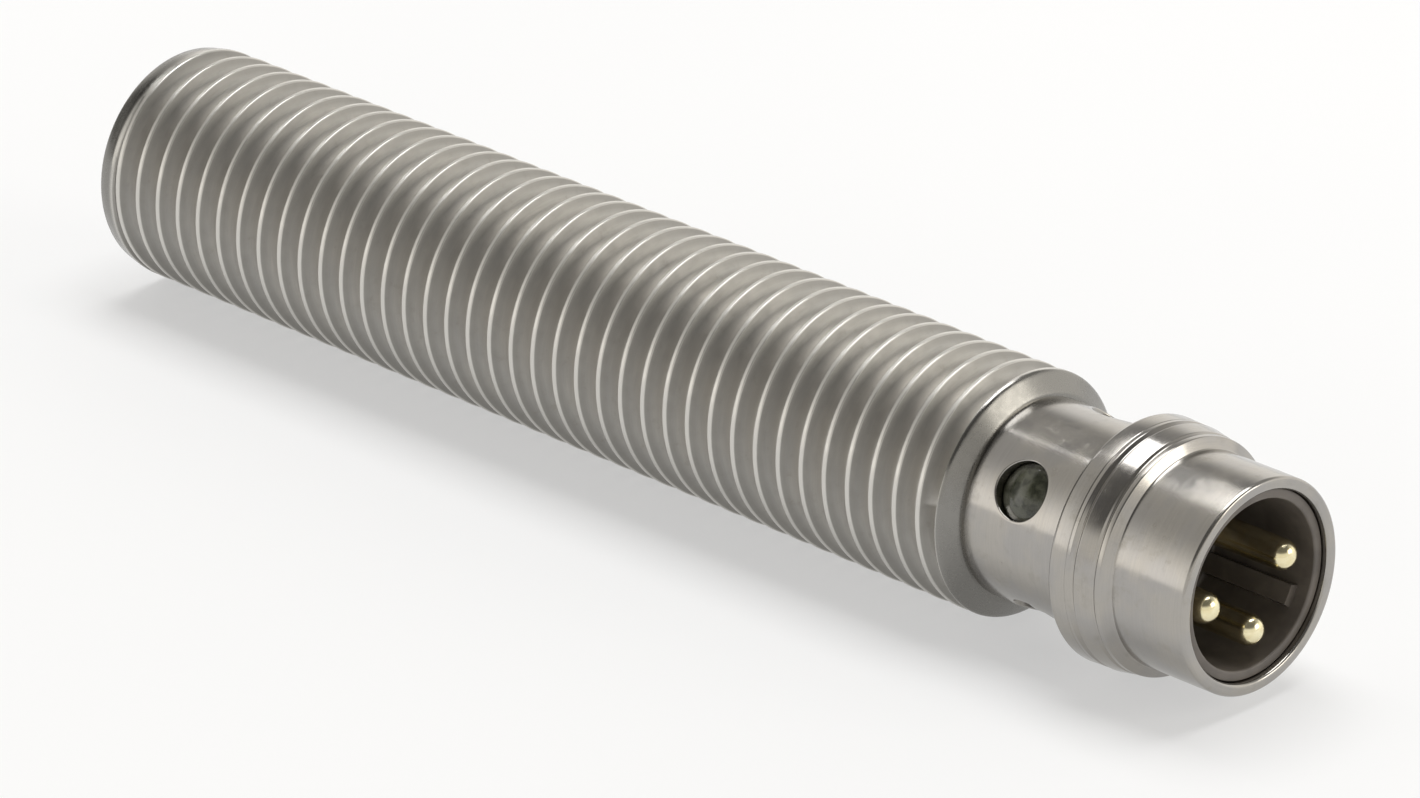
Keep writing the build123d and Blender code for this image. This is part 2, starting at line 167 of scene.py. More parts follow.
# Contacts, with radii about each contact's own axis
PIN_NAMES = ("contact_pin_1", "contact_pin_3", "contact_pin_4")
PIN_RADIUS = 0.5
PIN_TIP_FLAT = 0.02
PIN_TIP_LENGTH = 1.0
PIN_COLLAR_RADIUS = 0.65
PIN_COLLAR_SPAN = (42.55, 43.3)
PIN_COLLAR_ROUNDING = 0.05
PIN_COLUMNS = 48
TAIL_END = 42.6
TAIL_HALF_WIDTH = 0.2
TAIL_ROLL = 10.5
TAIL_EDGE = 0.03

# Front cap
CAP_LENGTH = 6.8
CAP_RADIUS = 2.97
CAP_BORE = 2.72
CAP_FLOOR = 0.6
CAP_STEP = 0.03  # how far the rim stands back from the face
CAP_RIM = (0.28, 0.24)  # width of the rim at the face and at the step
CAP_ROUNDING = 0.06
CAP_COLUMNS = 120

NOUGHT = 1e-6  # a smaller radius is a point on the axis
WELD = 1e-8  # metres between vertices that become one
SHARP_ANGLE = 35


# ---------------------------------------------------------------- meshes


def rounded(outline, steps=6):
    """Outline of (x, radius) points, with an arc at each corner that carries a rounding."""
    points = []
    count = len(outline)
    for index, corner in enumerate(outline):
        here = Vector(corner[:2])
        if len(corner) < 3:
            points.append(here)
            continue
        before = (Vector(outline[index - 1][:2]) - here).normalized()
        after = (Vector(outline[(index + 1) % count][:2]) - here).normalized()
        half = before.angle(after) / 2
        reach = corner[2] / math.tan(half)
        centre = here + (before + after).normalized() * corner[2] / math.sin(half)
        start = here + before * reach - centre
        sweep = (here + after * reach - centre).angle_signed(start)
        for step in range(steps + 1):
            turn = sweep * step / steps
            points.append(centre + Vector((
                start.x * math.cos(turn) - start.y * math.sin(turn),
                start.x * math.sin(turn) + start.y * math.cos(turn),
            )))
    return points


def on_axis(x, radius, degrees):
    """Point in metres at a radius round the X axis, from +Y towards +Z."""
    angle = math.radians(degrees)
    return Vector((x, radius * math.cos(angle), radius * math.sin(angle))) * MM


def make_piece(name, mesh, material, sharp=SHARP_ANGLE):
    """A finished bmesh as an object of the sensor."""
    bmesh.ops.remove_doubles(mesh, verts=mesh.verts, dist=WELD)
    bmesh.ops.recalc_face_normals(mesh, faces=mesh.faces)
    for face in mesh.faces:
        face.smooth = True
    data = bpy.data.meshes.new(name)
    mesh.to_mesh(data)
    mesh.free()
    data.set_sharp_from_angle(angle=math.radians(sharp))
    data.materials.append(material)
    piece = bpy.data.objects.new(name, data)
    bpy.context.scene.collection.objects.link(piece)
    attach(piece, "root")
    return piece


def grid_faces(mesh, rows, close_rows=False, skip=None):
    """Quads between neighbouring rows of vertices, each row a closed ring."""
    count = len(rows)
    for index in range(count if close_rows else count - 1):
        row = rows[index]
        following = rows[(index + 1) % count]
        for column in range(len(row)):
            if skip and skip(index, column):
                continue
            beside = (column + 1) % len(row)
            corners = []
            for vert in (row[column], row[beside], following[beside], following[column]):
                if vert not in corners:
                    corners.append(vert)
            if len(corners) > 2:
                mesh.faces.new(corners)


def ring(mesh, x, radius, columns):
    """A ring of vertices about the X axis, or one vertex where the radius is nought."""
    if radius < NOUGHT:
        return [mesh.verts.new(on_axis(x, 0.0, 0.0))] * columns
    return [mesh.verts.new(on_axis(x, radius, 360 * index / columns)) for index in range(columns)]


def lathe(name, outline, material, columns, place=None):
    """An outline of (x, radius) turned about the X axis, then moved by place if it is given."""
    mesh = bmesh.new()
    grid_faces(mesh, [ring(mesh, x, radius, columns) for x, radius in outline])
    if place:
        bmesh.ops.translate(mesh, verts=mesh.verts, vec=place * MM)
    return make_piece(name, mesh, material)


def interpolate(points, place):
    """Value at a place along a list of (place, value) points, held at its ends."""
    if place <= points[0][0]:
        return points[0][1]
    for (start, first), (end, last) in zip(points, points[1:]):
        if place <= end:
            return first + (last - first) * (place - start) / (end - start)
    return points[-1][1]


def barrel_limit(x):
    """Radius of the barrel's blank at x."""
    return min(interpolate(FRONT_EDGE, x), interpolate(REAR_EDGE, x))


def barrel_radius(x, degrees):
    """Outside of the threaded barrel at x and an angle."""
    phase = ((x - CREST_AT - degrees / 360) / PITCH) % 1.0
    depth = interpolate(HALF_PROFILE, min(phase, 1.0 - phase)) * interpolate(THREAD_FADE, x)
    return min(barrel_limit(x), BARREL_RADIUS - depth)


def threaded_barrel(material):
    """Barrel with a true helical thread, whose grid follows the helix."""
    phases = [phase for phase, _ in HALF_PROFILE]
    phases += [1.0 - phase for phase in phases[-2:0:-1]]
    turns = int(BARREL_LENGTH / PITCH) + 2
    places = [turn + phase for turn in range(-1, turns) for phase in phases]
    front = [x for x, _ in FRONT_EDGE]
    rear = [x for x, _ in REAR_EDGE]
    mesh = bmesh.new()
    columns = []
    for column in range(BARREL_COLUMNS):
        degrees = 360 * column / BARREL_COLUMNS
        lead = CREST_AT + degrees / 360
        xs = [min(max(lead + place * PITCH, front[-1]), rear[0]) for place in places]
        columns.append([mesh.verts.new(on_axis(x, barrel_radius(x, degrees), degrees)) for x in xs])
    for column in range(BARREL_COLUMNS):
        beside = (column + 1) % BARREL_COLUMNS
        # Past the last column the helix is one turn further on
        shift = len(phases) if beside == 0 else 0
        for row in range(len(places) - 1 - shift):
            near = columns[column][row:row + 2]
            far = columns[beside][row + shift:row + shift + 2]
            add_face(mesh, (near[0], near[1], far[1], far[0]))
    end_rows = [[verts[-1] for verts in columns]]
    end_rows += [ring(mesh, x, barrel_limit(x), BARREL_COLUMNS) for x in rear[1:]]
    end_rows += [ring(mesh, x, BARREL_BORE, BARREL_COLUMNS) for x in (BARREL_LENGTH, 0.0)]
    end_rows += [ring(mesh, x, barrel_limit(x), BARREL_COLUMNS) for x in front[:-1]]
    end_rows += [[verts[0] for verts in columns]]
    grid_faces(mesh, end_rows)
    bmesh.ops.remove_doubles(mesh, verts=mesh.verts, dist=10 * WELD)
    bmesh.ops.dissolve_degenerate(mesh, edges=mesh.edges, dist=WELD)
    piece = make_piece("threaded_body", mesh, material, sharp=50)
    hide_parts("threaded_barrel")


def add_face(mesh, corners):
    """A face, unless its corners have run together at an end of the barrel."""
    places = {tuple(round(value / WELD) for value in vert.co) for vert in corners}
    if len(places) > 2:
        mesh.faces.new(corners)


def shell_outlines():
    """Outside of the connector shell from front to rear, and inside from rear to front, as (x, radius)."""
    outside = rounded([
        (shell_low.x, SPIGOT_BORE),
        (shell_low.x, SPIGOT_RADIUS, SPIGOT_ROUNDING),
        (BARREL_LENGTH, SPIGOT_RADIUS),
        (BARREL_LENGTH, NECK_RADIUS),
    ])
    outside += [Vector((x, NECK_RADIUS)) for x in patch_xs()]
    # The first and last points here only aim the roundings beside them
    outside += rounded([
        (NECK_END, NECK_RADIUS),
        *COLLAR,
        (TUBE_START, TUBE_RADIUS, TUBE_ROOT_ROUNDING),
        (OVERALL_LENGTH, TUBE_RADIUS, TUBE_OUTER_ROUNDING),
        (OVERALL_LENGTH, TUBE_BORE, TUBE_INNER_ROUNDING),
        (OVERALL_LENGTH - 1, TUBE_BORE),
    ], steps=8)[1:-1]
    front, rear = NECK_BORE_SPAN
    inside = [Vector((rear, TUBE_BORE)), Vector((rear, NECK_BORE))]
    inside += [Vector((x, NECK_BORE)) for x in reversed(patch_xs())]
    inside += [Vector((front, NECK_BORE)), Vector((front, SPIGOT_BORE))]
    return outside, inside


def patch_xs():
    """Where the rows of a window's square patch cross the axis."""
    step = 2 * PATCH_HALF_LENGTH / PATCH_CELLS
    return [WINDOW_X - PATCH_HALF_LENGTH + step * index for index in range(PATCH_CELLS + 1)]


def window_point(angle, x, across, height):
    """Point in a window's own directions: along X, across the window, and out along its middle."""
    turn = math.radians(angle)
    out = Vector((0, math.cos(turn), math.sin(turn)))
    side = Vector((0, -math.sin(turn), math.cos(turn)))
    return (Vector((x, 0, 0)) + side * across + out * height) * MM


def first_patch_row(outline):
    """Index of the outline's point where the windows' patches start along the axis."""
    return min(range(len(outline)), key=lambda index: abs(outline[index][0] - patch_xs()[0]))


def patch_border(rows, first_column, columns):
    """Vertices round a square patch of the grid, in order."""
    last = PATCH_CELLS

    def at(row, column):
        return rows[row][(first_column + column) % columns]

    border = [(at(0, index), (-1, 2 * index / last - 1)) for index in range(last)]
    border += [(at(index, last), (2 * index / last - 1, 1)) for index in range(last)]
    border += [(at(last, last - index), (1, 1 - 2 * index / last)) for index in range(last)]
    border += [(at(last - index, 0), (1 - 2 * index / last, -1)) for index in range(last)]
    return border


def window_surface(mesh, border, angle, radius, edge, lip):
    """Rings from a square border in to the round edge of a window. Gives back the innermost ring."""
    previous = [vert for vert, _ in border]
    for step in range(1, WINDOW_RINGS + 1):
        blend = step / WINDOW_RINGS
        current = []
        for vert, (u, v) in border:
            turn = math.atan2(v, u)
            round_a = (edge + lip) * math.cos(turn)
            round_b = (edge + lip) * math.sin(turn)
            a = u * PATCH_HALF_LENGTH * (1 - blend) + round_a * blend
            square_b = radius * math.sin(math.radians(CELL_ANGLE * PATCH_CELLS / 2 * v))
            b = square_b * (1 - blend) + round_b * blend
            height = math.sqrt(radius ** 2 - b ** 2)
            current.append(mesh.verts.new(window_point(angle, WINDOW_X + a, b, height)))
        grid_faces(mesh, [previous, current])
        previous = current
    return previous


def window_wall(mesh, border, angle, outer_ring, inner_ring):
    """Rounded lip and straight wall of one window, between its outer and inner edges."""
    previous = outer_ring
    for step in range(1, WINDOW_LIP_STEPS + 1):
        turn = math.radians(90 * (1 - step / WINDOW_LIP_STEPS))
        distance = WINDOW_RADIUS + WINDOW_LIP * (1 - math.cos(turn))
        depth = WINDOW_LIP * (1 - math.sin(turn))
        current = []
        for _, (u, v) in border:
            around = math.atan2(v, u)
            b = distance * math.sin(around)
            height = math.sqrt(NECK_RADIUS ** 2 - b ** 2) - depth
            current.append(mesh.verts.new(
                window_point(angle, WINDOW_X + distance * math.cos(around), b, height)
            ))
        grid_faces(mesh, [previous, current])
        previous = current
    grid_faces(mesh, [previous, inner_ring])


def connector_shell(material):
    """Turned shell with four drilled windows that have rounded lips."""
    columns = int(360 / CELL_ANGLE)
    outside, inside = shell_outlines()
    mesh = bmesh.new()
    start = WINDOW_ANGLE - CELL_ANGLE * PATCH_CELLS / 2
    rows = []
    for point in outside + inside:
        rows.append([
            mesh.verts.new(on_axis(point[0], point[1], start + CELL_ANGLE * column))
            for column in range(columns)
        ])
    spacing = columns // WINDOW_COUNT
    outer_first = first_patch_row(outside)
    inner_last = len(outside) + first_patch_row(inside)
    inner_first = inner_last - PATCH_CELLS

    def in_window(row, column):
        in_rows = outer_first <= row < outer_first + PATCH_CELLS or inner_first <= row < inner_last
        return in_rows and column % spacing < PATCH_CELLS

    grid_faces(mesh, rows, close_rows=True, skip=in_window)
    outer_rows = rows[outer_first:outer_first + PATCH_CELLS + 1]
    inner_rows = rows[inner_first:inner_last + 1][::-1]
    for index in range(WINDOW_COUNT):
        angle = WINDOW_ANGLE + 360 / WINDOW_COUNT * index
        outer = patch_border(outer_rows, index * spacing, columns)
        inner = patch_border(inner_rows, index * spacing, columns)
        outer_ring = window_surface(mesh, outer, angle, NECK_RADIUS, WINDOW_RADIUS, WINDOW_LIP)
        inner_ring = window_surface(mesh, inner, angle, NECK_BORE, WINDOW_RADIUS, 0.0)
        window_wall(mesh, outer, angle, outer_ring, inner_ring)
    piece = make_piece("plug_shell", mesh, material, sharp=40)
    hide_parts("connector_shell")


def light_guide(material):
    """Clear ring behind the neck, and a domed lens in each window."""
    lens_radius = WINDOW_RADIUS - GUIDE_GAP
    rise = LENS_TOP - LENS_EDGE
    sphere = (lens_radius ** 2 + rise ** 2) / (2 * rise)
    edge_angle = math.asin(lens_radius / sphere)
    dome = [(LENS_FOOT, 0.0), (LENS_FOOT, lens_radius)]
    for step in range(LENS_STEPS + 1):
        angle = edge_angle * (1 - step / LENS_STEPS)
        dome.append((LENS_TOP - sphere * (1 - math.cos(angle)), sphere * math.sin(angle)))
    mesh = bmesh.new()
    front, rear = guide_low.x, guide_high.x
    outer = NECK_BORE - GUIDE_GAP
    tube = [(front, GUIDE_BORE), (front, outer), (rear, outer), (rear, GUIDE_BORE)]
    grid_faces(mesh, [ring(mesh, x, radius, GUIDE_COLUMNS) for x, radius in tube], close_rows=True)
    turns = [2 * math.pi * index / LENS_COLUMNS for index in range(LENS_COLUMNS)]
    for window in range(WINDOW_COUNT):
        angle = WINDOW_ANGLE + 360 / WINDOW_COUNT * window
        rows = []
        for height, radius in dome:
            if radius < NOUGHT:
                rows.append([mesh.verts.new(window_point(angle, WINDOW_X, 0, height))] * LENS_COLUMNS)
                continue
            rows.append([
                mesh.verts.new(window_point(
                    angle, WINDOW_X + radius * math.cos(turn), radius * math.sin(turn), height,
                ))
                for turn in turns
            ])
        grid_faces(mesh, rows)
    piece = make_piece("indicator_guide", mesh, material)
    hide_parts("light_guide_ring")


def contact_insert(material):
    """Insert that lines the plug, with the socket's floor and key rib and a groove for the seal."""
    mouth = carrier_high.x
    key_radius = INSERT_BORE - KEY_HEIGHT
    key_end = mouth - KEY_SETBACK
    outline = rounded([
        (INSERT_START, 0.0),
        (INSERT_START, STEM_RADIUS),
        (STEM_END, STEM_RADIUS),
        (STEM_END, INSERT_RADIUS),
        (GROOVE_SPAN[0], INSERT_RADIUS),
        (GROOVE_SPAN[0], GROOVE_RADIUS),
        (GROOVE_SPAN[1], GROOVE_RADIUS),
        (GROOVE_SPAN[1], INSERT_RADIUS),
        (mouth, INSERT_RADIUS, MOUTH_OUTER_ROUNDING),
        (mouth, INSERT_BORE, MOUTH_INNER_ROUNDING),
        (key_end, INSERT_BORE),
        (key_end - SQUARE_STEP, INSERT_BORE),
        (SOCKET_FLOOR, INSERT_BORE, FLOOR_ROUNDING),
        (SOCKET_FLOOR, 0.0),
    ])
    wall_start = KEY_ANGLE + KEY_HALF_ANGLE
    wall_angle = 360 - 2 * KEY_HALF_ANGLE
    angles = [wall_start + wall_angle * index / WALL_STEPS for index in range(WALL_STEPS + 1)]
    angles += [KEY_ANGLE + KEY_HALF_ANGLE * side for side in KEY_SIDES]
    mesh = bmesh.new()
    rows = []
    for x, radius in outline:
        if radius < NOUGHT:
            rows.append([mesh.verts.new(on_axis(x, 0.0, 0.0))] * len(angles))
            continue
        in_key = SOCKET_FLOOR - SQUARE_STEP < x < key_end - SQUARE_STEP / 2
        key_row_radius = min(radius, key_radius) if in_key else radius
        rows.append([
            mesh.verts.new(on_axis(x, key_row_radius if index > WALL_STEPS else radius, angle))
            for index, angle in enumerate(angles)
        ])
    grid_faces(mesh, rows)
    piece = make_piece("plug_insert", mesh, material, sharp=30)
    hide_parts("contact_carrier")


def contact_pins(material):
    """Three turned contacts with round tips, each where the CAD has it."""
    for name in PIN_NAMES:
        low, high = [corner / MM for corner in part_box(name)]
        centre = pin_centre(name)
        collar_front, collar_rear = PIN_COLLAR_SPAN
        outline = rounded([
            (collar_front, 0.0),
            (collar_front, PIN_COLLAR_RADIUS, PIN_COLLAR_ROUNDING),
            (collar_rear, PIN_COLLAR_RADIUS),
            (collar_rear, PIN_RADIUS),
            (high.x, PIN_RADIUS, PIN_RADIUS - PIN_TIP_FLAT),
            (high.x, 0.0),
        ], steps=12)
        piece = lathe(name + "_turned", outline, material, PIN_COLUMNS, Vector((0, centre.y, centre.z)))
        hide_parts(name)
        pin_tail(name, centre, low.x, material)


def pin_centre(name):
    """Axis of a contact, from the middle of its round tip in the CAD mesh."""
    places = [vert.co for vert in nodes[name].data.vertices]
    tip = max(place.x for place in places)
    near = [place for place in places if place.x > tip - PIN_TIP_LENGTH * MM]
    low = Vector([min(place[axis] for place in near) for axis in range(3)])
    high = Vector([max(place[axis] for place in near) for axis in range(3)])
    return (low + high) / 2 / MM


def pin_tail(name, centre, start, material):
    """Square solder tail of a contact, on the board's side of its collar."""
    mesh = bmesh.new()
    half = TAIL_HALF_WIDTH
    roll = math.radians(TAIL_ROLL)
    rows = []
    for x in (start, TAIL_END):
        row = []
        for y, z in ((-half, -half), (half, -half), (half, half), (-half, half)):
            turned_y = y * math.cos(roll) - z * math.sin(roll)
            turned_z = y * math.sin(roll) + z * math.cos(roll)
            row.append(mesh.verts.new(Vector((x, centre.y + turned_y, centre.z + turned_z)) * MM))
        rows.append(row)
    grid_faces(mesh, rows)
    for row in rows:
        mesh.faces.new(row)
    bmesh.ops.bevel(mesh, geom=mesh.edges, offset=TAIL_EDGE * MM, segments=2, affect="EDGES")
    piece = make_piece(name + "_tail", mesh, material)


def face_cap(material):
    """Front cap, with a flat face and a fine step at its edge."""
    outline = rounded([
        (0.0, 0.0),
        (0.0, CAP_RADIUS - CAP_RIM[0]),
        (CAP_STEP, CAP_RADIUS - CAP_RIM[1]),
        (CAP_STEP, CAP_RADIUS, CAP_ROUNDING),
        (CAP_LENGTH, CAP_RADIUS),
        (CAP_LENGTH, CAP_BORE),
        (CAP_FLOOR, CAP_BORE),
        (CAP_FLOOR, 0.0),
    ])
    piece = lathe("front_cap", outline, material, CAP_COLUMNS)
    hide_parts("sensing_face_cap")


# ---------------------------------------------------------------- materials


def add(tree, kind, inputs=None, **settings):
    """A shader node with its settings, and with each input linked or set."""
    node = tree.nodes.new("ShaderNode" + kind)
    for key, value in settings.items():
        setattr(node, key, value)
    for key, value in (inputs or {}).items():
        socket = node.inputs[key]
        if isinstance(value, bpy.types.NodeSocket):
            tree.links.new(value, socket)
        else:
            socket.default_value = value
    return node


def millimetres(tree):
    """Object coordinates in millimetres."""
    coordinates = add(tree, "TexCoord").outputs["Object"]
    return add(tree, "VectorMath", {0: coordinates, "Scale": 1 / MM}, operation="SCALE").outputs[0]


def math_node(tree, operation, a, b):
    """The result of one Math node."""
    return add(tree, "Math", {0: a, 1: b}, operation=operation).outputs[0]


def radius_of(tree, vector):
    """Distance along the sensor's axis, distance from it, and the direction round it."""
    parts = add(tree, "SeparateXYZ", {0: vector})
    flat = add(tree, "CombineXYZ", {1: parts.outputs[1], 2: parts.outputs[2]}).outputs[0]
    radius = add(tree, "VectorMath", {0: flat}, operation="LENGTH").outputs["Value"]
    around = add(tree, "VectorMath", {0: flat}, operation="NORMALIZE").outputs[0]
    return parts.outputs[0], radius, around


def turned_noise(tree, vector, fineness, wander, detail=3.0):
    """Noise drawn out round the axis, like the marks of a turning tool."""
    x, radius, around = radius_of(tree, vector)
    along = math_node(tree, "MULTIPLY", x, fineness)
    drift = add(tree, "VectorMath", {0: around, "Scale": wander}, operation="SCALE").outputs[0]
    line = add(tree, "CombineXYZ", {0: along}).outputs[0]
    place = add(tree, "VectorMath", {0: line, 1: drift}, operation="ADD").outputs[0]
    depth = math_node(tree, "MULTIPLY", radius, fineness)
    return add(
        tree, "TexNoise", {"Vector": place, "W": depth, "Scale": 1.0, "Detail": detail},
        noise_dimensions="4D",
    ).outputs[0]


def noise(tree, vector, scale, detail=3.0, roughness=0.5):
    """Even noise, with its scale per millimetre."""
    return add(
        tree, "TexNoise", {"Vector": vector, "Scale": scale, "Detail": detail, "Roughness": roughness}
    ).outputs[0]


def spread(tree, value, low, high, to_low, to_high):
    """A value eased from one range to another, and held at its ends."""
    return add(
        tree, "MapRange",
        {"Value": value, "From Min": low, "From Max": high, "To Min": to_low, "To Max": to_high},
        interpolation_type="SMOOTHSTEP", clamp=True,
    ).outputs[0]


def mix(tree, factor, first, second):
    """Two colours mixed by a factor."""
    node = tree.nodes.new("ShaderNodeMix")
    node.data_type = "RGBA"
    colours = [socket for socket in node.inputs if socket.type == "RGBA"]
    tree.links.new(factor, node.inputs[0])
    for socket, colour in zip(colours, (first, second)):
        if isinstance(colour, bpy.types.NodeSocket):
            tree.links.new(colour, socket)
        else:
            socket.default_value = (*colour, 1.0)
    return next(socket for socket in node.outputs if socket.type == "RGBA")


def bump(tree, height, distance, strength=1.0, normal=None):
    """Bump whose distance is in millimetres."""
    inputs = {"Height": height, "Distance": distance * MM, "Strength": strength}
    if normal:
        inputs["Normal"] = normal
    return add(tree, "Bump", inputs).outputs[0]


def new_material(name):
    """A material with its node tree and its shader."""
    material = bpy.data.materials.new(name)
    material.use_nodes = True
    tree = material.node_tree
    return material, tree, tree.nodes["Principled BSDF"]


def finish_material(tree, shader, inputs):
    """Link or set each of the shader's inputs."""
    for key, value in inputs.items():
        if isinstance(value, bpy.types.NodeSocket):
            tree.links.new(value, shader.inputs[key])
        elif isinstance(value, tuple):
            shader.inputs[key].default_value = (*value, 1.0)
        else:
            shader.inputs[key].default_value = value


def barrel_steel():
    """Satin turned stainless steel: fine tool marks, cloudy tone, bright crests that are partly rubbed metal
    and partly a painted highlight, painted shade on the shoulders under them, painted light in the roots, and
    a darker tone at the ends that is painted shade on the rear chamfer.
    """
    material, tree, shader = new_material("barrel_steel_turned")
    place = millimetres(tree)
    x, radius, _ = radius_of(tree, place)
    marks = turned_noise(tree, place, 22.0, 5.0)
    clouds = noise(tree, place, 0.45, 4.0, 0.6)
    stain = noise(tree, place, 2.6, 5.0, 0.65)
    grain = noise(tree, place, 30.0, 2.0)
    cloudy = spread(tree, clouds, 0.35, 0.65, 0.0, 1.0)
    tone = mix(tree, cloudy, (0.405, 0.394, 0.373), (0.445, 0.428, 0.397))
    tone = mix(tree, spread(tree, marks, 0.3, 0.7, 0.0, 0.30), tone, (0.33, 0.322, 0.306))
    tone = mix(tree, spread(tree, stain, 0.56, 0.74, 0.0, 0.35), tone, (0.29, 0.265, 0.225))
    # Bands up the thread's flank, painted to copy how light falls on it: painted light in the root, painted
    # shade on the shoulder under the crest, and a painted highlight on the crest
    root = spread(tree, radius, BARREL_RADIUS - THREAD_DEPTH, BARREL_RADIUS - 0.22, 0.60, 0.0)
    tone = mix(tree, root, tone, (0.66, 0.635, 0.59))
    # Painted shade: the shoulder under each crest is darkened as if it lay in shade
    painted_shoulder_shade = spread(tree, radius, BARREL_RADIUS - 0.34, BARREL_RADIUS - 0.12, 0.0, 0.85)
    tone = mix(tree, painted_shoulder_shade, tone, (0.295, 0.285, 0.265))
    # The crest is lightened, partly as rubbed metal and partly as a painted highlight; its lower roughness is
    # real
    crest_and_painted_highlight = spread(tree, radius, BARREL_RADIUS - 0.055, BARREL_RADIUS - 0.015, 0.0, 1.0)
    tone = mix(tree, crest_and_painted_highlight, tone, (0.60, 0.585, 0.55))
    # The front land and the rear chamfer get a darker tone, which on the rear chamfer is painted shade; the
    # smoother cut itself only lowers the roughness
    rear_cut_and_painted_shade = spread(tree, x, *REAR_CUT, 0.0, 1.0)
    front_cut = spread(tree, x, *FRONT_CUT, 1.0, 0.0)
    cut_and_painted_shade = math_node(tree, "MAXIMUM", rear_cut_and_painted_shade, front_cut)
    tone = mix(tree, cut_and_painted_shade, tone, (0.245, 0.238, 0.222))
    rough = spread(tree, stain, 0.25, 0.75, 0.40, 0.50)
    rough = math_node(tree, "SUBTRACT", rough, math_node(tree, "MULTIPLY", cut_and_painted_shade, 0.18))
    rough = math_node(tree, "SUBTRACT", rough, math_node(tree, "MULTIPLY", crest_and_painted_highlight, 0.12))
    marks = math_node(tree, "MULTIPLY", marks, spread(tree, x, *REAR_CUT, 1.0, 0.2))
    normal = bump(tree, marks, 0.005, 0.45)
    normal = bump(tree, grain, 0.001, 0.25, normal)
    finish_material(tree, shader, {
        "Base Color": tone, "Metallic": 1.0, "Roughness": rough, "Normal": normal,
    })
    return material


def shell_metal():
    """Smooth nickel-coloured shell with faint turning lines, smudges, a duller film and fine specks."""
    material, tree, shader = new_material("shell_metal_turned")
    place = millimetres(tree)
    lines = turned_noise(tree, place, 30.0, 3.0, 2.0)
    smudge = noise(tree, place, 0.7, 4.0, 0.55)
    film = noise(tree, place, 2.2, 5.0, 0.6)
    specks = noise(tree, place, 26.0, 2.0)
    tone = mix(tree, spread(tree, smudge, 0.38, 0.62, 0.0, 1.0), (0.375, 0.362, 0.345), (0.405, 0.385, 0.352))
    tone = mix(tree, spread(tree, lines, 0.3, 0.7, 0.0, 0.22), tone, (0.30, 0.29, 0.275))
    tone = mix(tree, spread(tree, film, 0.55, 0.72, 0.0, 0.30), tone, (0.30, 0.28, 0.24))
    rough = spread(tree, smudge, 0.3, 0.7, 0.13, 0.20)
    rough = math_node(tree, "ADD", rough, spread(tree, film, 0.5, 0.72, 0.0, 0.07))
    rough = math_node(tree, "ADD", rough, spread(tree, specks, 0.55, 0.75, 0.0, 0.06))
    finish_material(tree, shader, {
        "Base Color": tone, "Metallic": 1.0, "Roughness": rough, "Normal": bump(tree, lines, 0.002, 0.35),
    })
    return material


def moulded(name, colour, second, roughness, grain_scale=30.0, grain_depth=0.004, coat=0.0):
    """Moulded plastic with a fine grain and slight cloudiness."""
    material, tree, shader = new_material(name)
    place = millimetres(tree)
    cloud = noise(tree, place, 1.3, 3.0)
    grain = noise(tree, place, grain_scale, 3.0, 0.6)
    tone = mix(tree, spread(tree, cloud, 0.35, 0.65, 0.0, 1.0), colour, second)
    rough = spread(tree, grain, 0.3, 0.7, roughness - 0.06, roughness + 0.06)
    finish_material(tree, shader, {
        "Base Color": tone, "Roughness": rough, "Normal": bump(tree, grain, grain_depth, 0.5),
        "Coat Weight": coat,
    })
    return material


def window_plastic():
    """Smoky olive plastic, cloudy inside, with a glossy face."""
    material, tree, shader = new_material("window_plastic_smoky")
    place = millimetres(tree)
    cloud = noise(tree, place, 2.4, 4.0, 0.6)
    blotch = noise(tree, place, 1.1, 2.0)
    tone = mix(tree, spread(tree, cloud, 0.38, 0.62, 0.0, 1.0), (0.030, 0.034, 0.018), (0.13, 0.135, 0.092))
    tone = mix(tree, spread(tree, blotch, 0.50, 0.62, 0.0, 0.6), tone, (0.19, 0.19, 0.15))
    rough = spread(tree, noise(tree, place, 9.0), 0.3, 0.7, 0.06, 0.13)
    finish_material(tree, shader, {
        "Base Color": tone, "Roughness": rough, "Transmission Weight": 0.45, "IOR": 1.52,
        "Normal": bump(tree, cloud, 0.03, 0.4), "Coat Weight": 0.3,
    })
    return material


def gold():
    """Thin pale gold plating over a turned pin."""
    material, tree, shader = new_material("gold_contact_plated")
    place = millimetres(tree)
    cloud = noise(tree, place, 3.0, 3.0)
    grain = noise(tree, place, 45.0, 2.0)
    tone = mix(tree, spread(tree, cloud, 0.35, 0.65, 0.0, 1.0), (0.82, 0.73, 0.46), (0.87, 0.80, 0.55))
    rough = spread(tree, grain, 0.3, 0.7, 0.14, 0.24)
    finish_material(tree, shader, {
        "Base Color": tone, "Metallic": 1.0, "Roughness": rough, "Normal": bump(tree, grain, 0.002, 0.3),
    })
    return material


def bright_metal(name, colour, second, roughness):
    """Plain metal for small inner parts, with a slight unevenness."""
    material, tree, shader = new_material(name)
    place = millimetres(tree)
    cloud = noise(tree, place, 4.0, 3.0)
    tone = mix(tree, spread(tree, cloud, 0.3, 0.7, 0.0, 1.0), colour, second)
    rough = spread(tree, noise(tree, place, 30.0), 0.3, 0.7, roughness - 0.06, roughness + 0.08)
    finish_material(tree, shader, {
        "Base Color": tone, "Metallic": 1.0, "Roughness": rough, "Normal": bump(tree, cloud, 0.01, 0.3),
    })
    return material


def chip_material(name, colour):
    """Chip part: fired body with a pale, fine speckle."""
    material, tree, shader = new_material(name)
    place = millimetres(tree)
    grain = noise(tree, place, 20.0, 3.0)
    tone = mix(tree, spread(tree, grain, 0.3, 0.7, 0.0, 0.4), colour, (0.6, 0.58, 0.54))
    finish_material(tree, shader, {
        "Base Color": tone, "Roughness": spread(tree, grain, 0.3, 0.7, 0.35, 0.5),
        "Normal": bump(tree, grain, 0.004, 0.4),
    })
    return material


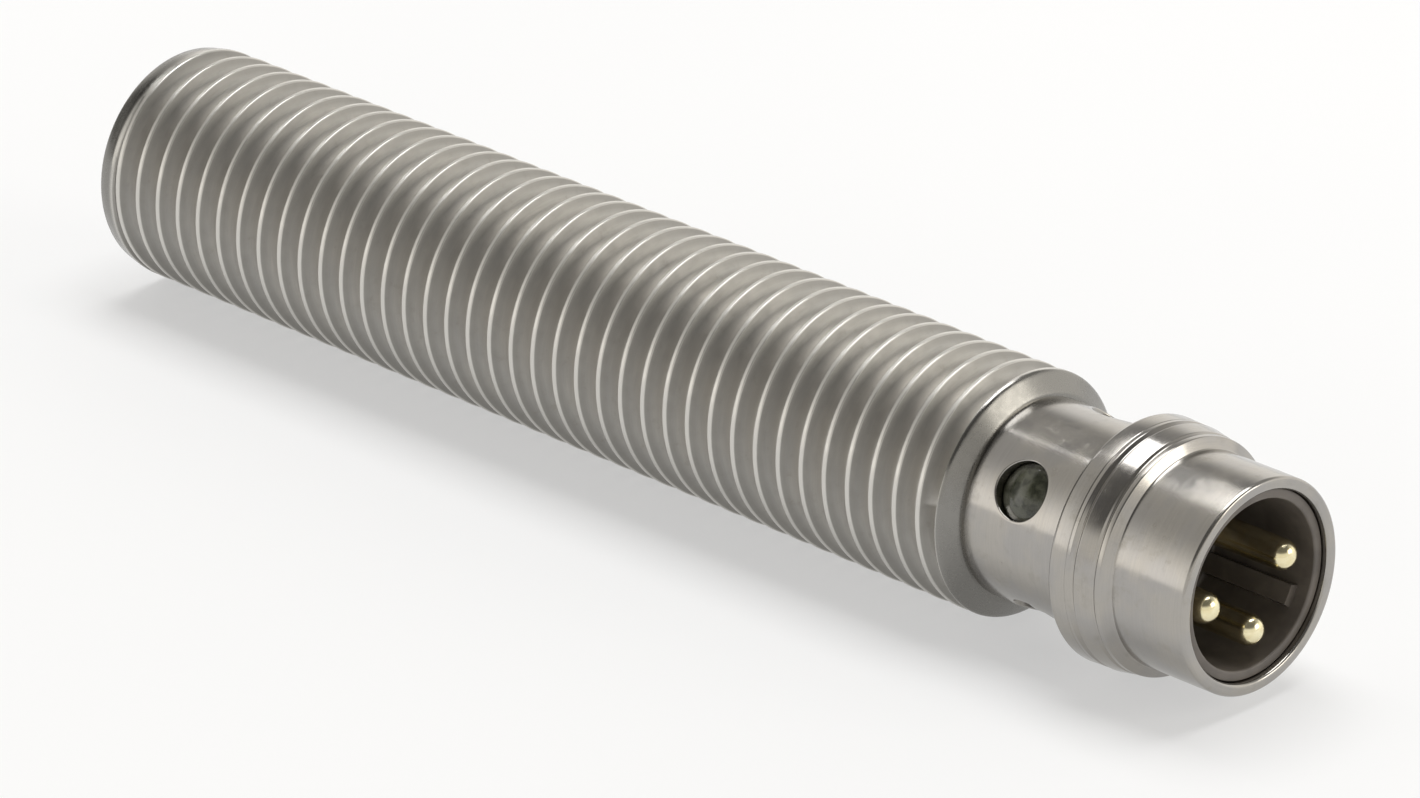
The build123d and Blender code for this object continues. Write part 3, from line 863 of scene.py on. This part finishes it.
def board_laminate():
    """Solder mask over laminate, with a slightly raised weave."""
    material, tree, shader = new_material("board_laminate_masked")
    place = millimetres(tree)
    weave = add(tree, "TexBrick", {
        "Vector": place, "Scale": 1.0, "Mortar Size": 0.03, "Brick Width": 1.7, "Row Height": 0.55,
        "Color1": (1, 1, 1, 1), "Color2": (0.7, 0.7, 0.7, 1), "Mortar": (0, 0, 0, 1),
    }).outputs[0]
    tone = mix(tree, weave, (0.02, 0.11, 0.05), (0.035, 0.19, 0.09))
    finish_material(tree, shader, {
        "Base Color": tone, "Roughness": spread(tree, noise(tree, place, 12.0), 0.3, 0.7, 0.22, 0.34),
        "Normal": bump(tree, weave, 0.03, 0.5), "Coat Weight": 0.4,
    })
    return material


def floor_material():
    """Plain pale studio floor."""
    material, tree, shader = new_material("studio_floor")
    tone = noise(tree, millimetres(tree), 0.02, 2.0)
    colour = mix(tree, spread(tree, tone, 0.3, 0.7, 0.0, 1.0), (0.445, 0.445, 0.445), (0.46, 0.46, 0.458))
    finish_material(tree, shader, {
        "Base Color": colour, "Roughness": 0.75, "Specular IOR Level": 0.1,
        "Emission Color": (1.0, 1.0, 1.0), "Emission Strength": 0.46,
    })
    return material


# ---------------------------------------------------------------- stage


FLOOR_RADIUS = 3.0  # metres
FLOOR_SIDES = 64
OVERHEAD = 0.7  # a light whose direction rises more than this hangs overhead
CAMERA_AZIMUTH = 45.21  # degrees from -Y towards +X
CAMERA_ELEVATION = 23.61
CAMERA_DISTANCE = 0.26997  # metres
CAMERA_TARGET = Vector((0.8, 0, -1.1))  # from the middle of the sensor
SENSOR_WIDTH = 36
FOCAL_LENGTH = 214.8
CLIP = (0.01, 20)


def floor_plane(height):
    """Large round floor under the sensor."""
    mesh = bmesh.new()
    bmesh.ops.create_circle(mesh, cap_ends=True, radius=FLOOR_RADIUS, segments=FLOOR_SIDES)
    data = bpy.data.meshes.new("studio_floor")
    mesh.to_mesh(data)
    mesh.free()
    data.materials.append(floor_material())
    floor = bpy.data.objects.new("studio_floor", data)
    floor.location.z = height
    bpy.context.scene.collection.objects.link(floor)


def softbox(name, direction, distance, size, radiance, colour=(1.0, 1.0, 1.0)):
    """Rectangular light that faces the sensor, with its first side level, or along X if it hangs overhead."""
    light = bpy.data.lights.new(name, "AREA")
    light.shape = "RECTANGLE"
    light.size, light.size_y = size
    light.energy = radiance * math.pi * size[0] * size[1]
    light.color = colour
    lamp = bpy.data.objects.new(name, light)
    towards = Vector(direction).normalized()
    overhead = towards.z > OVERHEAD
    level = Vector((1, 0, 0)) if overhead else Vector((0, 0, 1)).cross(towards).normalized()
    upright = towards.cross(level).normalized()
    level = upright.cross(towards)
    turned = Matrix((level, upright, towards)).transposed().to_4x4()
    lamp.matrix_world = Matrix.Translation(centre + towards * distance) @ turned
    lamp.visible_camera = False
    bpy.context.scene.collection.objects.link(lamp)


def surroundings():
    """Studio by direction: bright wall behind and to the left, dark room above and beside the camera."""
    world = bpy.data.worlds.new("studio")
    bpy.context.scene.world = world
    world.use_nodes = True
    tree = world.node_tree
    direction = add(tree, "TexCoord").outputs["Generated"]
    x, y, z = add(tree, "SeparateXYZ", {0: direction}).outputs
    # The wall behind, dimmer towards its top
    back = spread(tree, y, 0.20, 0.65, 0.0, 1.25)
    back = math_node(tree, "MULTIPLY", back, spread(tree, z, 0.30, 0.62, 1.0, 0.35))
    # The wall to the left, brightest low down and towards the camera, with a dark end
    left = spread(tree, x, -0.52, -0.32, 1.0, 0.0)
    left = math_node(tree, "MULTIPLY", left, spread(tree, z, 0.12, 0.70, 1.65, 0.62))
    left = math_node(tree, "MULTIPLY", left, spread(tree, y, -0.15, 0.25, 1.0, 0.60))
    far = spread(tree, x, -0.84, -0.71, 0.12, 1.0)
    far = math_node(tree, "MAXIMUM", far, spread(tree, y, 0.05, 0.30, 0.0, 1.0))
    left = math_node(tree, "MULTIPLY", left, far)
    # The pale floor and the lower part of the room
    low = spread(tree, z, 0.28, 0.52, 0.90, 0.15)
    low = math_node(tree, "MULTIPLY", low, spread(tree, x, -0.92, -0.60, 0.30, 1.0))
    level = math_node(tree, "MAXIMUM", math_node(tree, "MAXIMUM", back, left), low)
    background = tree.nodes["Background"].inputs
    background["Color"].default_value = (1.0, 0.975, 0.93, 1.0)
    tree.links.new(level, background["Strength"])


def camera():
    """Long lens, from in front of the plug's end and a little above."""
    azimuth, elevation = math.radians(CAMERA_AZIMUTH), math.radians(CAMERA_ELEVATION)
    back = Vector((
        math.sin(azimuth) * math.cos(elevation),
        -math.cos(azimuth) * math.cos(elevation),
        math.sin(elevation),
    ))
    data = bpy.data.cameras.new("camera")
    data.sensor_width = SENSOR_WIDTH
    data.lens = FOCAL_LENGTH
    data.clip_start, data.clip_end = CLIP
    view = bpy.data.objects.new("camera", data)
    target = centre + CAMERA_TARGET * MM
    view.location = target + back * CAMERA_DISTANCE
    view.rotation_mode = "QUATERNION"
    view.rotation_quaternion = (-back).to_track_quat("-Z", "Y")
    bpy.context.scene.collection.objects.link(view)
    bpy.context.scene.camera = view


# ---------------------------------------------------------------- the sensor

centre = (cad_low + cad_high) / 2
steel = barrel_steel()
nickel = shell_metal()
black_insert = moulded("insert_plastic_black", (0.095, 0.082, 0.070), (0.125, 0.108, 0.092), 0.36)
black_cap = moulded("cap_plastic_black", (0.022, 0.022, 0.022), (0.032, 0.032, 0.031), 0.5, 24.0, 0.008)
gold_plate = gold()

threaded_barrel(steel)
connector_shell(nickel)
light_guide(window_plastic())
contact_insert(black_insert)
contact_pins(gold_plate)
face_cap(black_cap)

INNER_LOOKS = {
    "ferrite_core": moulded("ferrite_fired", (0.045, 0.045, 0.05), (0.075, 0.075, 0.08), 0.6, 18.0, 0.01),
    "coil_bobbin": moulded("bobbin_plastic_natural", (0.70, 0.67, 0.58), (0.78, 0.75, 0.67), 0.45),
    "coil_winding": bright_metal("copper_wire_enamelled", (0.72, 0.32, 0.13), (0.80, 0.40, 0.18), 0.25),
    "coil_lead_wires": bright_metal("copper_wire_lead", (0.72, 0.32, 0.13), (0.80, 0.40, 0.18), 0.25),
    "core_holder": moulded("holder_plastic_grey", (0.08, 0.08, 0.085), (0.12, 0.12, 0.125), 0.5),
    "insulation_sleeve": moulded("sleeve_plastic_amber", (0.55, 0.34, 0.08), (0.62, 0.42, 0.12), 0.3),
    "circuit_board": board_laminate(),
    "sensor_ic": moulded("package_resin_ic", (0.025, 0.025, 0.027), (0.04, 0.04, 0.04), 0.5, 16.0, 0.01),
    "output_transistor": moulded("package_resin_transistor", (0.03, 0.03, 0.03), (0.045, 0.045, 0.045), 0.5),
    "suppressor_diode": moulded("package_resin_suppressor", (0.03, 0.03, 0.03), (0.045, 0.045, 0.045), 0.5),
    "polarity_diode": moulded("package_resin_diode", (0.03, 0.03, 0.03), (0.045, 0.045, 0.045), 0.5),
    "chip_resistors": chip_material("chip_resistor_glazed", (0.04, 0.04, 0.045)),
    "chip_capacitors": chip_material("chip_capacitor_fired", (0.42, 0.28, 0.15)),
    "status_leds": moulded("led_chip_resin", (0.78, 0.70, 0.42), (0.85, 0.78, 0.52), 0.25, coat=0.5),
    "solder_joints": bright_metal("solder_bright", (0.62, 0.62, 0.60), (0.72, 0.72, 0.70), 0.25),
    "potting_compound": moulded("potting_resin_dark", (0.03, 0.03, 0.028), (0.045, 0.045, 0.04), 0.2),
    "carrier_seal": moulded("seal_rubber_black", (0.025, 0.025, 0.025), (0.035, 0.035, 0.034), 0.7),
}
for name, look in INNER_LOOKS.items():
    nodes[name].data.materials.clear()
    nodes[name].data.materials.append(look)

floor_plane(cad_low.z)
surroundings()
softbox("overhead_box", (-0.082, 0.23, 1.0), 0.45, (0.409, 0.256), 5.0)
softbox("overhead_strip", (-0.707, 0.035, 0.707), 0.5, (0.125, 0.022), 5.0)
softbox("right_rear_panel", (0.84, 0.42, 0.38), 0.5, (0.24, 0.18), 3.5, (1.0, 0.965, 0.89))
camera()
bpy.context.scene.view_settings.view_transform = "Standard"
